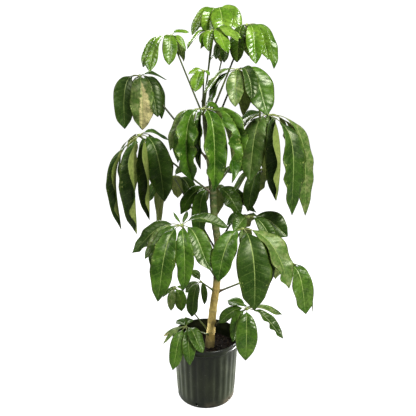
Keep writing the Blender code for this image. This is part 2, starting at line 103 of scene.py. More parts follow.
class Shell:
    """Collects points, faces and the numbers that a material reads at each point."""

    def __init__(self, *traits):
        self.points, self.faces = [], []
        self.traits = {name: [] for name in traits}

    def add_rings(self, rings, values=()):
        """Each ring is a list of points; values holds, per ring and point, the material's numbers."""
        start, count = len(self.points), len(rings[0])
        for ring in rings:
            self.points.extend(ring)
        for ring_values in values:
            for point_values in ring_values:
                for name, value in zip(self.traits, point_values):
                    self.traits[name].append(value)
        for r in range(len(rings) - 1):
            low = start + r * count
            for i in range(count):
                j = (i + 1) % count
                self.faces.append((low + i, low + j, low + count + j, low + count + i))
        self.faces.append(tuple(range(start + count - 1, start - 1, -1)))
        self.faces.append(tuple(range(start + (len(rings) - 1) * count, start + len(rings) * count)))

    def finish(self, name, material):
        mesh = bpy.data.meshes.new(name)
        mesh.from_pydata([tuple(p) for p in self.points], [], self.faces)
        for trait, values in self.traits.items():
            mesh.attributes.new(trait, "FLOAT", "POINT").data.foreach_set("value", values)
        bm = bmesh.new()
        bm.from_mesh(mesh)
        bmesh.ops.recalc_face_normals(bm, faces=bm.faces)
        bm.to_mesh(mesh)
        bm.free()
        mesh.shade_smooth()
        mesh.materials.append(material)
        return add_object(name, mesh)


def round_ring(centre, direction, radius, sides, bumps=None):
    """A ring of points round a centre. bumps(angle) scales the radius."""
    turn = UP.rotation_difference(direction)
    ring = []
    for i in range(sides):
        angle = 360 * i / sides
        reach = radius * (bumps(angle) if bumps else 1.0)
        ring.append(centre + turn @ (heading_vector(angle) * reach))
    return ring


solid_rings = []  # the rings of the pieces that no leaflet may run through
hit_counts = []  # for each leaflet, how many faces still run through another piece


def search_tree(rings):
    """A tree that tells quickly whether the skin over some rings runs through another skin."""
    count = len(rings[0])
    points = [point for ring in rings for point in ring]
    faces = []
    for low in range(len(points) - count):
        beside = low - low % count + (low + 1) % count
        faces.append((low, beside, beside + count, low + count))
    return BVHTree.FromPolygons(points, faces)


def dress(piece, node):
    """The piece stands for a node of the measured model: that node is hidden and the piece hangs from the
    root.
    """
    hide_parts(node)
    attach(piece, "root")
    return piece


# %% [markdown]
# ## Helpers for finishes
# A finish is a small tree of nodes that ends in one Principled shader. Writing each node's
# links by hand is long and hard to read, so the Finish class adds a node, sets or links its
# inputs by name and returns its output, and a finish then reads like a recipe.

# %% A class that builds finishes
class Finish:
    def __init__(self, name):
        self.material = bpy.data.materials.new(name)
        self.material.use_nodes = True
        self.tree = self.material.node_tree
        self.shader = self.tree.nodes["Principled BSDF"]

    def put(self, socket, value):
        """Links an output to a socket, or sets a plain number or colour on it."""
        if isinstance(value, bpy.types.NodeSocket):
            self.tree.links.new(value, socket)
        elif isinstance(value, tuple) and len(value) == 3 and socket.type == "RGBA":
            socket.default_value = (*value, 1.0)
        else:
            socket.default_value = value

    def node(self, kind, inputs, output=0, **settings):
        """Adds a node, fills its inputs, which go by number or by name, and returns one output."""
        made = self.tree.nodes.new("ShaderNode" + kind)
        for key, value in settings.items():
            setattr(made, key, value)
        for key, value in inputs.items():
            self.put(made.inputs[key], value)
        return made.outputs[output]

    def math(self, operation, *values):
        return self.node("Math", dict(enumerate(values)), operation=operation)

    def times(self, first, second):
        return self.math("MULTIPLY", first, second)

    def band(self, value, low, high, bottom=0.0, top=1.0):
        """Maps low..high onto bottom..top with soft ends."""
        inputs = dict(enumerate((value, low, high, bottom, top)))
        return self.node("MapRange", inputs, interpolation_type="SMOOTHSTEP")

    def mix(self, share, first, second):
        return self.node("Mix", {0: share, 6: first, 7: second}, 2, data_type="RGBA")

    def trait(self, name):
        """A number that the mesh stores at each point."""
        return self.node("Attribute", {}, 2, attribute_name=name)

    def place(self, height_scale=None):
        """A point's own place. A height scale under 1 draws patterns out up and down."""
        spot = self.node("TexCoord", {}, "Object")
        if height_scale is None:
            return spot
        return self.node("Mapping", {"Vector": spot, "Scale": (1.0, 1.0, height_scale)})

    def noise(self, scale, detail=4.0, roughness=0.55, place=None):
        inputs = {"Vector": place or self.place(), "Scale": scale, "Detail": detail, "Roughness": roughness}
        return self.node("TexNoise", inputs)

    def bump(self, height, distance, strength):
        return self.node("Bump", {"Height": height, "Distance": distance, "Strength": strength})

    def done(self, colour, roughness, **others):
        for key, value in {"Base_Color": colour, "Roughness": roughness, **others}.items():
            self.put(self.shader.inputs[key.replace("_", " ")], value)
        print("finish:", self.material.name, "with", len(self.tree.nodes), "nodes")
        return self.material


# %% [markdown]
# ## The nursery pot
# A grower's pot is blow-moulded from thin black plastic. Its wall is fluted to stay stiff, a
# plain band with a rolled lip runs round the mouth, and holes round the foot let water out. A
# pot can be modelled by spinning a profile, but a spin can't make flutes. So here each ring of
# the profile is drawn by itself and its radius rises and falls round the wall. The inside is
# drawn in the same rings, so that the wall is one closed thin shell.

# %% Pot sizes
POT_HEIGHT = 0.258
BAND_FOOT = POT_HEIGHT - 0.024
RIM_RADIUS = 0.131
WALL_TOP_RADIUS = 0.1225
WALL_FOOT_RADIUS = 0.1125
POT_WALL = 0.0022
POT_FLOOR = 0.0030
RIBS = 28
RIB_HEIGHT = 0.0020
RIB_START, RIB_END = 0.024, 0.226
CORNER = 0.011
DRAIN_HOLES = 5
DRAIN_RADIUS = 0.006
DRAIN_HEIGHT = 0.017
FIRST_DRAIN = 251  # its heading in degrees
SIDES_PER_RIB = 8
DENT = 0.0025  # how far out of round the wall is, as a share of its radius
print("pot wall:", round(BAND_FOOT, 3), "m tall under its band")


def wall_radius(height):
    """Outside radius of the wall, in the grooves between the flutes."""
    share = (height - CORNER * 2) / (BAND_FOOT - CORNER * 2)
    return WALL_FOOT_RADIUS + (WALL_TOP_RADIUS - WALL_FOOT_RADIUS) * share


# %% The black plastic
def pot_plastic():
    plastic = Finish("moulded_black_plastic")
    dust = plastic.noise(14.0, 5.0, 0.65)
    scuffs = plastic.noise(160.0, 3.0, 0.7)
    scuff_mask = plastic.band(scuffs, 0.62, 0.74)
    high = plastic.trait("high")
    colour = plastic.mix(plastic.band(dust, 0.35, 0.75), (0.004, 0.007, 0.001), (0.017, 0.022, 0.007))
    # painted highlight and shade: the flute tops are painted a lighter green-grey and the grooves between
    # them stay darker, as light falls on the flutes and shade lies in the grooves
    colour = plastic.mix(plastic.times(high, 0.16), colour, (0.036, 0.042, 0.022))
    colour = plastic.mix(plastic.times(scuff_mask, 0.35), colour, (0.16, 0.16, 0.14))
    low_down = plastic.band(plastic.trait("height"), 0.040, 0.0)
    splash = plastic.times(low_down, plastic.band(dust, 0.45, 0.62))
    colour = plastic.mix(plastic.times(splash, 0.55), colour, (0.115, 0.085, 0.055))
    roughness = plastic.band(dust, 0.3, 0.8, 0.30, 0.48)
    normal = plastic.bump(plastic.noise(420.0, 2.0), 0.00025, 0.5)
    return plastic.done(colour, roughness, Normal=normal, Specular_IOR_Level=0.45)


black_plastic = pot_plastic()


# %% The pot's shell
def flute(height, angle):
    """How far the wall stands out at an angle: 1 on a flute, 0 in a groove."""
    wave = 0.5 + 0.5 * math.cos(math.radians(angle * RIBS))
    fade = smooth(RIB_START, RIB_START + 0.009, height) * smooth(RIB_END, RIB_END - 0.008, height)
    return smooth(0.22, 0.78, wave) * fade


# how far inside the rim's radius, with the height above the band's foot or below the rim
BAND_EDGE = (
    (0.0052, -0.0030), (0.0022, -0.0015), (0.0004, 0.0010),
    (0.0002, 0.0040), (0.0020, 0.0060), (0.0026, 0.0090),
)
LIP = (
    (0.0024, 0.0090), (0.0012, 0.0068), (0, 0.0045), (0.0001, 0.0020),
    (0.0016, 0.0004), (0.0034, 0), (0.0050, 0.0012),
)


def pot_profile():
    """(radius, height, follows the flutes) up the outside, over the lip and down the inside."""
    foot, centre = WALL_FOOT_RADIUS, WALL_FOOT_RADIUS * 0.4
    corner_reach, corner_steps, outer_steps, inner_steps = CORNER * 0.95, 6, 14, 8
    outside = [(centre, 0.0), (foot - corner_reach, 0.0)]
    for step in range(1, corner_steps):
        turn = math.radians(90 * step / corner_steps)
        outside.append((foot - corner_reach * (1 - math.sin(turn)), CORNER * (1 - math.cos(turn))))
    outside.append((wall_radius(CORNER * 1.6), CORNER * 1.6))
    for step in range(outer_steps + 1):
        height = RIB_START + (RIB_END - RIB_START) * (step / outer_steps)
        outside.append((wall_radius(height), height))
    outside.append((wall_radius(RIB_END) + 0.0008, RIB_END + 0.004))
    outside += [(RIM_RADIUS - inset, BAND_FOOT + above) for inset, above in BAND_EDGE]
    outside += [(RIM_RADIUS - inset, POT_HEIGHT - below) for inset, below in LIP]
    inside = [
        (RIM_RADIUS - 0.0058, BAND_FOOT + 0.004),
        (wall_radius(RIB_END) - POT_WALL, BAND_FOOT - 0.006),
    ]
    for step in range(inner_steps, -1, -1):
        height = RIB_START + (RIB_END - RIB_START) * (step / inner_steps)
        inside.append((wall_radius(height) - POT_WALL, height))
    inside += [(foot - corner_reach - POT_WALL, POT_FLOOR), (centre, POT_FLOOR)]
    return [(r, z, True) for r, z in outside] + [(r, z, False) for r, z in inside]


def make_pot():
    shell = Shell("high", "height")
    sides = RIBS * SIDES_PER_RIB
    rings, values = [], []
    for radius, height, fluted in pot_profile():
        ring, numbers = [], []
        for i in range(sides):
            angle = 360 * i / sides
            raised = flute(height, angle) if fluted else 0.0
            dent = 1.0 + DENT * math.sin(math.radians(angle * 2 + 40)) * smooth(0.05, 0.22, height)
            reach = min(radius * dent, RIM_RADIUS) + RIB_HEIGHT * raised
            ring.append(heading_vector(angle) * reach + Vector((0, 0, height)))
            # how far the point stands out on a flute, which the finish turns into a painted highlight on the
            # flute tops, and its height
            numbers.append((raised, height))
        rings.append(ring)
        values.append(numbers)
    shell.add_rings(rings, values)
    solid_rings.append(rings)
    pot = shell.finish("nursery_pot", black_plastic)
    pot.data.set_sharp_from_angle(angle=math.radians(50))
    return pot


pot = make_pot()
print("pot:", len(pot.data.polygons), "faces")

# %% [markdown]
# The drain holes are cut with a Boolean, as a drill would: five short rods are joined into one
# cutter, and the Exact solver keeps the thin wall closed round each hole.

# %% Drill the drain holes
def drill_drains(pot):
    rods, sides = Shell(), 20
    rod_ends = (WALL_FOOT_RADIUS - 0.02, WALL_FOOT_RADIUS + 0.01)
    for i in range(DRAIN_HOLES):
        outward = heading_vector(FIRST_DRAIN + 360 * i / DRAIN_HOLES)
        places = [outward * reach + Vector((0, 0, DRAIN_HEIGHT)) for reach in rod_ends]
        ends = [round_ring(place, outward, DRAIN_RADIUS, sides) for place in places]
        rods.add_rings(ends)
    cutter = rods.finish("drain_rods", black_plastic)
    drill = pot.modifiers.new("drains", "BOOLEAN")
    drill.object, drill.solver = cutter, "EXACT"
    bpy.context.view_layer.update()
    cut = bpy.data.meshes.new_from_object(pot.evaluated_get(bpy.context.evaluated_depsgraph_get()))
    pot.modifiers.clear()
    pot.data = cut
    bpy.data.objects.remove(cutter)


drill_drains(pot)
dress(pot, "pot")
print("pot after drilling:", len(pot.data.polygons), "faces")

# %% [markdown]
# ## The potting mix
# The mix is dark composted bark, moist and lumpy, a few centimetres under the rim. A flat disc
# with a bump texture looks like felt, so the surface is a fine dome of rings pushed up and down
# by noise, and a few hundred loose chips of bark and some pale grains lie on it.

# %% The mix and its finish
SOIL_TOP = 0.205
SOIL_RADIUS = wall_radius(SOIL_TOP) - POT_WALL - 0.0012
SOIL_FOOT_RADIUS = 0.100
HEAP_HEIGHT, HEAP_CENTRE = 0.005, 0.016  # the heap is round the trunk, a little to the right


def mix_finish(name, dark, light, roughness):
    mix = Finish(name)
    grain = mix.noise(90.0, 6.0, 0.7)
    colour = mix.mix(mix.band(grain, 0.35, 0.7), dark, light)
    normal = mix.bump(mix.noise(240.0, 4.0, 0.7), 0.0012, 0.9)
    rough = mix.band(grain, 0.3, 0.7, roughness - 0.12, roughness)
    return mix.done(colour, rough, Normal=normal, Specular_IOR_Level=0.14)


moist_mix = mix_finish("moist_bark_mix", (0.003, 0.002, 0.0015), (0.016, 0.011, 0.007), 0.95)


def surface_height(x, y):
    """The mix is heaped a little round the trunk and lumpy all over."""
    lump = noise.noise(Vector((x, y, 0.3)) * 55) * 0.0024 + noise.noise(Vector((x, y, 7.1)) * 140) * 0.0014
    heap = HEAP_HEIGHT * math.exp(-((x - HEAP_CENTRE) ** 2 + y * y) / 0.0012)
    return SOIL_TOP - 0.004 + lump + heap


def make_mix():
    shell = Shell()
    sides, spans = 96, 30
    rings = [[out * SOIL_FOOT_RADIUS + UP * (POT_FLOOR + 0.004) for out in circle(sides)]]
    for step in range(spans + 1):
        reach = SOIL_RADIUS * (1 - step / spans) + 0.0005
        spots = [out * reach for out in circle(sides)]
        rings.append([Vector((spot.x, spot.y, surface_height(spot.x, spot.y))) for spot in spots])
    shell.add_rings(rings)
    return shell.finish("bark_mix", moist_mix)


mix_bed = dress(make_mix(), "potting_mix")
print("mix surface:", len(mix_bed.data.polygons), "faces")

# %% [markdown]
# A chip is a small flat block with its corners pulled about. All the chips are one object, and
# so are the pale grains, because hundreds of objects would be slow and hard to handle.

# %% Loose chips and pale grains
CHIPS = 420
GRAINS = 34
CHIP_CORNERS = 6
CHIP_LEVELS = ((-0.5, 0.6), (-0.15, 1.0), (0.25, 0.95), (0.5, 0.5))  # height and girth of each ring


def scatter(name, count, size, flat, material, seed):
    """Lays loose bits on the mix. size is their shortest and longest, flat their share of height."""
    dice = random.Random(seed)
    shell = Shell()
    for _ in range(count):
        reach = SOIL_RADIUS * 0.97 * math.sqrt(dice.random())
        spot = heading_vector(dice.uniform(0, 360)) * reach
        length = dice.uniform(*size)
        spot.z = surface_height(spot.x, spot.y) + length * flat * 0.35
        lean = (UP + Vector((dice.gauss(0, 0.35), dice.gauss(0, 0.35), 0))).normalized()
        tilt = UP.rotation_difference(lean)
        long_side = dice.uniform(1.0, 1.8)
        turn = dice.uniform(0, 360)
        rings = []
        for level, girth in CHIP_LEVELS:
            ring = []
            for i in range(CHIP_CORNERS):
                out = heading_vector(turn + 360 / CHIP_CORNERS * i) * length * 0.5 * girth
                out *= dice.uniform(0.75, 1.1)
                along = heading_vector(turn)
                out += along * out.dot(along) * (long_side - 1)
                ring.append(spot + tilt @ (out + UP * level * length * flat))
            rings.append(ring)
        shell.add_rings(rings)
    piece = shell.finish(name, material)
    piece.data.set_sharp_from_angle(angle=math.radians(30))
    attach(piece, "root")


chip_finish = mix_finish("bark_chips", (0.007, 0.005, 0.003), (0.034, 0.022, 0.013), 0.9)
grain_finish = mix_finish("pale_grains", (0.18, 0.17, 0.15), (0.38, 0.37, 0.34), 0.9)
scatter("bark_chips", CHIPS, (0.004, 0.011), 0.45, chip_finish, 5)
scatter("pale_grains", GRAINS, (0.0018, 0.0034), 0.9, grain_finish, 8)
print("loose pieces on the mix:", CHIPS + GRAINS)

# %% [markdown]
# ## The trunk
# The trunk is one stem that leans right, back over the pot and then left. Low down it is woody
# and tan, with short pale breathing pores; higher it is still green. Every leaf that it ever
# had left a ring round it, a slight swelling with a paler scar. A smooth curve runs through a
# few measured places, the rings of the skin follow that curve, and the scars are small waves
# in its radius, so that they catch the light as real ones do.

# %% The trunk's path
TRUNK_FOOT = 0.085
# the height, the distance to the right of the pot's middle, and the radius
TRUNK = (
    (TRUNK_FOOT, 0.012, 0.0170),
    (0.214, 0.016, 0.0185),
    (0.290, 0.021, 0.0158),
    (0.380, 0.029, 0.0145),
    (0.450, 0.039, 0.0142),
    (0.560, 0.046, 0.0138),
    (0.640, 0.044, 0.0135),
    (0.730, 0.031, 0.0132),
    (0.870, 0.022, 0.0125),
    (1.017, 0.004, 0.0095),
    (1.134, -0.008, 0.0055),
    (1.160, -0.009, 0.0030),
)
SCAR_GAP = 0.037  # between old leaf scars, low down
SCAR_WIDTH = 0.0042
SCAR_SWELL = 0.075  # as a share of the trunk's radius
TRUNK_SIDES = 28
TRUNK_STEPS = 300


def between(a, b, c, d, share):
    """A smooth value from b to c, given the values before and after them."""
    square = share * share
    total = 2 * b + (c - a) * share
    total += (2 * a - 5 * b + 4 * c - d) * square
    total += (3 * b - a - 3 * c + d) * square * share
    return 0.5 * total


def trunk_at(height):
    """The trunk's centre and radius at a height."""
    last = len(TRUNK) - 1
    for i in range(last):
        if height <= TRUNK[i + 1][0] or i == last - 1:
            spots = [TRUNK[max(0, i - 1)], TRUNK[i], TRUNK[i + 1], TRUNK[min(last, i + 2)]]
            share = min(1.0, max(0.0, (height - TRUNK[i][0]) / (TRUNK[i + 1][0] - TRUNK[i][0])))
            x = between(*[spot[1] for spot in spots], share)
            radius = TRUNK[i][2] + (TRUNK[i + 1][2] - TRUNK[i][2]) * share
            return Vector((x, 0.0, height)), radius


def scar_heights():
    heights, height, gap = [], 0.232, SCAR_GAP
    dice = random.Random(5)
    while height < TRUNK[-1][0] - 0.02:
        heights.append(height)
        height += gap * dice.uniform(0.6, 1.4)
        gap *= 0.985
    return heights


SCARS = scar_heights()
print("leaf scars up the trunk:", len(SCARS))


# %% Bark
def bark_finish():
    bark = Finish("trunk_skin")
    height = bark.trait("height")
    stretched = bark.place(0.35)
    cloud = bark.noise(16.0, 5.0, 0.6)
    fibre = bark.noise(170.0, 4.0, 0.65, stretched)
    tan = bark.mix(bark.band(cloud, 0.35, 0.66), (0.620, 0.440, 0.110), (0.980, 0.800, 0.280))
    tan = bark.mix(bark.band(fibre, 0.49, 0.70, 0.0, 0.66), tan, (0.230, 0.135, 0.035))
    olive = bark.mix(bark.band(cloud, 0.35, 0.65), (0.028, 0.054, 0.008), (0.085, 0.122, 0.022))
    fresh = bark.times(bark.band(height, 0.495, 0.515), bark.band(height, 0.585, 0.540))
    olive = bark.mix(bark.times(fresh, 0.6), olive, (0.100, 0.185, 0.022))
    yellow = bark.mix(bark.band(cloud, 0.45, 0.60), (0.22, 0.17, 0.045), (0.46, 0.36, 0.10))
    wander = bark.math("MULTIPLY_ADD", cloud, 0.16, height)
    colour = bark.mix(bark.band(wander, 0.50, 0.62), tan, olive)
    near_scar = bark.times(bark.band(height, 0.600, 0.618), bark.band(height, 0.668, 0.645))
    colour = bark.mix(bark.times(near_scar, 0.75), colour, yellow)
    # painted shade: just above the mix, inside the pot, the trunk is darkened almost to black brown where
    # the pot's wall shades it
    painted_pot_shade = bark.band(height, 0.265, 0.210, 0.0, 0.8)
    colour = bark.mix(painted_pot_shade, colour, (0.035, 0.027, 0.016))
    colour = bark.mix(bark.times(bark.trait("scar"), 0.35), colour, (0.22, 0.17, 0.085))
    pores = bark.node("TexVoronoi", {"Vector": stretched, "Scale": 190.0})
    pore_mask = bark.band(pores, 0.24, 0.10)
    colour = bark.mix(bark.times(pore_mask, 0.4), colour, (0.70, 0.56, 0.26))
    lumps = bark.math("ADD", bark.times(fibre, 0.8), bark.times(pore_mask, 0.4))
    normal = bark.bump(lumps, 0.0015, 0.9)
    roughness = bark.band(height, 0.45, 0.70, 0.74, 0.56)
    return bark.done(colour, roughness, Normal=normal)


trunk_skin = bark_finish()


# %% The trunk's skin
def make_trunk():
    shell = Shell("height", "scar")
    top = TRUNK[-1][0]
    rings, values = [], []
    for step in range(TRUNK_STEPS + 1):
        height = TRUNK_FOOT + (top - TRUNK_FOOT) * step / TRUNK_STEPS
        centre, radius = trunk_at(height)
        ahead, _ = trunk_at(min(height + 0.004, top))
        behind, _ = trunk_at(max(height - 0.004, TRUNK_FOOT))
        scar = 0.0
        for mark in SCARS:
            scar = max(scar, math.exp(-(((height - mark) / SCAR_WIDTH) ** 2)))
        swell = 1.0 + SCAR_SWELL * scar + 0.02 * noise.noise(Vector((0, 0, height * 31)))

        def lumps(angle):
            around = heading_vector(angle) * 0.9
            return swell + 0.035 * noise.noise(Vector((around.x, around.y, height * 22)))

        rings.append(round_ring(centre, (ahead - behind).normalized(), radius, TRUNK_SIDES, lumps))
        values.append([(height, scar)] * TRUNK_SIDES)
    shell.add_rings(rings, values)
    solid_rings.append(rings)
    return shell.finish("trunk_stem", trunk_skin)


trunk = dress(make_trunk(), "trunk")
print("trunk:", len(trunk.data.polygons), "faces")

# %% [markdown]
# ## The plan of the leaves
# The leaves are what make the plant this plant, so their places are a plan listed leaf by leaf. A
# leaf has the height on the trunk where its stalk starts, its hub, its size, its age from 0 to 1,
# and a letter for each leaflet whose colour isn't left to chance: D for painted shade, a dark green
# on a leaflet that faces away from the light, P for a painted sheen, a mottled pale green on one
# that catches the light, B for one with a bleached patch under the same painted sheen. A leaflet
# has the heading in which it leaves the hub, how far out and how far down its tip hangs, how wide
# it is, how far its blade turns to the light, how steeply it sets off, how far its two halves fold
# up, and how much further one half flaps over the other. A scatter of copies would be shorter, but
# each whorl of the real plant has its own balance.

# %% The leaf plan
Size = namedtuple("Size", "stalk_radius hub_radius")
MATURE = Size(0.0034, 0.0066)
YOUNG = Size(0.0028, 0.0050)
Leaflet = namedtuple("Leaflet", "heading reach drop width turn lift fold flap", defaults=(0, 12, 18, 0))
Leaf = namedtuple("Leaf", "node hub size age tones leaflets")
LEAVES = {}


def plan_leaf(name, node, hub, size, age, tones, *rows):
    LEAVES[name] = Leaf(node, hub, size, age, tones, [Leaflet(*row) for row in rows])


plan_leaf(
    "crown", 1.142, (0.038, 0.050, 1.450), YOUNG, 0.06, "",
    (180, 0.082, 0.084, 0.036, -30, 34),
    (236, 0.046, 0.082, 0.066, -10, 26),
    (284, 0.075, 0.090, 0.074, 0, 26),
    (326, 0.088, 0.066, 0.058, 10, 34),
    (356, 0.088, 0.050, 0.046, 0, 44),
    (40, 0.078, 0.052, 0.046, 0, 50),
    (88, 0.076, 0.060, 0.050, 0, 25),
    (136, 0.076, 0.056, 0.048, 0, 30),
)
plan_leaf(
    "top_front", 1.128, (0.021, -0.060, 1.374), YOUNG, 0.12, "",
    (190, 0.080, 0.056, 0.038, 20, 12, 30),
    (228, 0.045, 0.048, 0.036),
    (256, 0.044, 0.064, 0.036),
    (300, 0.094, 0.074, 0.046, 0, 16),
    (322, 0.100, 0.038, 0.046, 0, 24),
    (352, 0.096, 0.020, 0.040, 0, 24),
    (22, 0.080, 0.006, 0.032, 0, 25),
    (66, 0.070, 0.050, 0.036),
    (122, 0.066, 0.054, 0.036),
)
plan_leaf(
    "top_right", 1.070, (0.137, 0.000, 1.396), MATURE, 0.24, "D",
    (224, 0.044, 0.118, 0.060, 10, 14),
    (294, 0.066, 0.124, 0.060, 0, 14, 24),
    (328, 0.084, 0.110, 0.046, 10, 18, 26),
    (352, 0.094, 0.139, 0.052, 10, 24, 22),
    (30, 0.086, 0.110, 0.046, 0, 14),
    (80, 0.078, 0.096, 0.046),
    (140, 0.064, 0.090, 0.046),
)
plan_leaf(
    "upper_left", 1.105, (-0.113, -0.050, 1.360), YOUNG, 0.16, "",
    (22, 0.062, -0.008, 0.030, 0, 50),
    (338, 0.052, 0.048, 0.028, 0, 14, 35),
    (268, 0.050, 0.092, 0.050, 0, 16),
    (226, 0.089, 0.116, 0.054, 10, 14),
    (196, 0.090, 0.100, 0.044),
    (160, 0.080, 0.076, 0.040),
    (100, 0.058, 0.080, 0.044),
    (56, 0.064, 0.080, 0.040),
)
plan_leaf(
    "young_shoot", 1.150, (-0.006, -0.095, 1.250), YOUNG, 0.18, "",
    (190, 0.050, 0.010, 0.034, 0, 45),
    (238, 0.048, 0.064, 0.044),
    (320, 0.024, 0.014, 0.016, 0, 30),
)
plan_leaf(
    "left_high", 0.950, (-0.232, 0.060, 1.233), MATURE, 0.76, "DBD",
    (212, 0.064, 0.180, 0.076, -25, 20, 12),
    (280, 0.050, 0.184, 0.080, 0, 12, 20),
    (322, 0.082, 0.138, 0.062),
    (14, 0.070, 0.150, 0.050, 40),
    (42, 0.120, 0.014, 0.038, 0, 25),
    (104, 0.070, 0.150, 0.060),
    (158, 0.082, 0.150, 0.060),
)
plan_leaf(
    "left_mid", 0.830, (-0.225, -0.060, 1.040), MATURE, 0.80, "..DDD",
    (22, 0.112, 0.026, 0.040, 0, 38),
    (322, 0.112, 0.211, 0.084, 15, 12, 14),
    (296, 0.080, 0.270, 0.074, 12, 8, 14, 88),
    (264, 0.076, 0.325, 0.094, 0, 0, 14, 78),
    (214, 0.080, 0.318, 0.060, -28, -22, 14, 84),
    (168, 0.068, 0.230, 0.050, 0, -10),
    (118, 0.086, 0.280, 0.060),
    (60, 0.076, 0.384, 0.094),
)
plan_leaf(
    "centre_front", 0.985, (-0.009, -0.170, 1.135), MATURE, 0.62, "DP..D....DD",
    (160, 0.096, 0.160, 0.060, -20),
    (188, 0.104, 0.127, 0.050, -10, 12, 26),
    (208, 0.084, 0.162, 0.050, 0, 12, 30),
    (236, 0.050, 0.214, 0.074, 10, 14, 44),
    (264, 0.050, 0.180, 0.048, 30, 14, 50),
    (292, 0.085, 0.243, 0.078, -10, 14, 44),
    (318, 0.114, 0.218, 0.078, -10, 14, 44),
    (340, 0.120, 0.156, 0.066, 0, 16, 38),
    (28, 0.104, 0.058, 0.066, 0, 50),
    (134, 0.060, 0.150, 0.050),
    (58, 0.080, 0.130, 0.056),
)
plan_leaf(
    "right_mid", 0.845, (0.217, 0.000, 1.103), MATURE, 0.85, "DP..D..P",
    (158, 0.124, 0.040, 0.052, 0, 22),
    (200, 0.116, 0.062, 0.034, 40, 12, 35),
    (234, 0.113, 0.214, 0.086, 0, 12, 12),
    (268, 0.044, 0.086, 0.034, 0, 12, 35),
    (282, 0.112, 0.276, 0.096, 14, 5, 14, 92),
    (322, 0.108, 0.343, 0.096, 6, -12, 16),
    (352, 0.104, 0.270, 0.066, -60, 0, 14),
    (8, 0.150, 0.368, 0.072, 42, 4, 14),
    (42, 0.110, 0.240, 0.056),
    (84, 0.100, 0.240, 0.060),
)
plan_leaf(
    "right_high", 1.015, (0.102, -0.100, 1.253), MATURE, 0.70, "PD.PD",
    (200, 0.116, 0.070, 0.046, 20, 22, 24),
    (168, 0.104, 0.070, 0.040, 0, 25),
    (184, 0.104, 0.130, 0.050, 0, 0),
    (262, 0.068, 0.111, 0.056, 0, 12, 20),
    (304, 0.066, 0.092, 0.052, 20, 36, 30),
    (340, 0.098, 0.140, 0.092, 20, 30, 10),
    (24, 0.088, 0.166, 0.060),
    (70, 0.070, 0.150, 0.054),
)
plan_leaf(
    "upper_back", 1.060, (0.072, 0.120, 1.352), YOUNG, 0.70, "",
    (350, 0.050, 0.064, 0.034),
    (312, 0.056, 0.072, 0.034, 20),
    (262, 0.040, 0.074, 0.036),
    (214, 0.044, 0.062, 0.036),
    (160, 0.056, 0.064, 0.038),
    (104, 0.066, 0.070, 0.040),
    (48, 0.060, 0.066, 0.038),
)
plan_leaf(
    "centre_back", 0.730, (0.027, 0.100, 0.824), MATURE, 0.70, "",
    (186, 0.126, 0.104, 0.056, -20),
    (222, 0.066, 0.196, 0.066),
    (330, 0.120, 0.092, 0.070, 15),
    (4, 0.170, 0.104, 0.048, 15),
    (44, 0.118, 0.130, 0.056),
    (80, 0.116, 0.138, 0.056),
    (110, 0.106, 0.122, 0.052),
)
plan_leaf(
    "right_back", 0.640, (0.219, 0.140, 0.883), MATURE, 0.70, "",
    (178, 0.176, 0.022, 0.042, 0, 15, 35),
    (204, 0.126, 0.078, 0.040, 20, 12, 40),
    (234, 0.104, 0.144, 0.058, -20),
    (46, 0.102, 0.138, 0.054),
    (92, 0.118, 0.124, 0.056),
    (136, 0.128, 0.104, 0.054),
)
plan_leaf(
    "left_back", 0.600, (-0.126, 0.180, 0.847), MATURE, 0.74, "",
    (342, 0.100, 0.116, 0.056, 20),
    (30, 0.058, -0.036, 0.034, 0, 60),
    (88, 0.120, 0.120, 0.056),
    (136, 0.124, 0.106, 0.056),
    (186, 0.118, 0.110, 0.052),
)
plan_leaf(
    "low_left", 0.500, (-0.077, -0.200, 0.765), MATURE, 0.74, "D....PD",
    (12, 0.154, 0.020, 0.052, 0, 46),
    (318, 0.122, 0.124, 0.068, 10),
    (274, 0.096, 0.186, 0.058, 0, 12, 24),
    (240, 0.144, 0.212, 0.074),
    (214, 0.118, 0.126, 0.058),
    (196, 0.122, 0.104, 0.056, -10),
    (172, 0.172, 0.104, 0.066, -10, 16),
    (146, 0.034, -0.040, 0.010, 0, 50),
    (62, 0.036, -0.040, 0.016, 0, 50),
)
plan_leaf(
    "low_right", 0.555, (0.121, -0.200, 0.753), MATURE, 0.78, "..DP",
    (230, 0.126, 0.144, 0.074, 0, 15),
    (262, 0.036, 0.048, 0.022),
    (284, 0.130, 0.226, 0.106, 0, 12, 14),
    (325, 0.176, 0.166, 0.090, 0),
    (346, 0.092, 0.196, 0.060, 25),
    (70, 0.064, 0.070, 0.044),
)
plan_leaf(
    "mid_right", 0.610, (0.156, 0.000, 0.735), MATURE, 0.74, "...D",
    (176, 0.078, 0.034, 0.056, 0, 20),
    (222, 0.076, 0.040, 0.050),
    (332, 0.108, 0.084, 0.056, 20),
    (354, 0.146, 0.070, 0.080, 20, 18),
    (48, 0.118, 0.084, 0.058),
    (96, 0.120, 0.088, 0.060),
)
plan_leaf(
    "far_right", 0.440, (0.299, -0.020, 0.561), MATURE, 0.55, "",
    (312, 0.096, 0.168, 0.082, 10),
    (350, 0.104, 0.188, 0.034, -20, 12, 35),
    (54, 0.082, 0.110, 0.046),
    (108, 0.078, 0.098, 0.046),
    (222, 0.034, 0.030, 0.020),
)
plan_leaf(
    "base_back_left", 0.270, (-0.124, 0.080, 0.417), YOUNG, 0.38, ".P",
    (304, 0.050, 0.080, 0.048),
    (252, 0.044, 0.078, 0.034),
    (200, 0.050, 0.032, 0.018),
    (106, 0.060, 0.056, 0.036),
    (40, 0.056, 0.054, 0.036),
)
plan_leaf(
    "sprout_left", 0.446, (-0.018, -0.030, 0.492), YOUNG, 0.80, "",
    (238, 0.062, 0.114, 0.052, 0, 12, 30),
    (196, 0.060, 0.036, 0.036),
    (154, 0.042, -0.038, 0.034, 0, 60),
    (292, 0.034, 0.076, 0.026, 0, 12, 35),
)
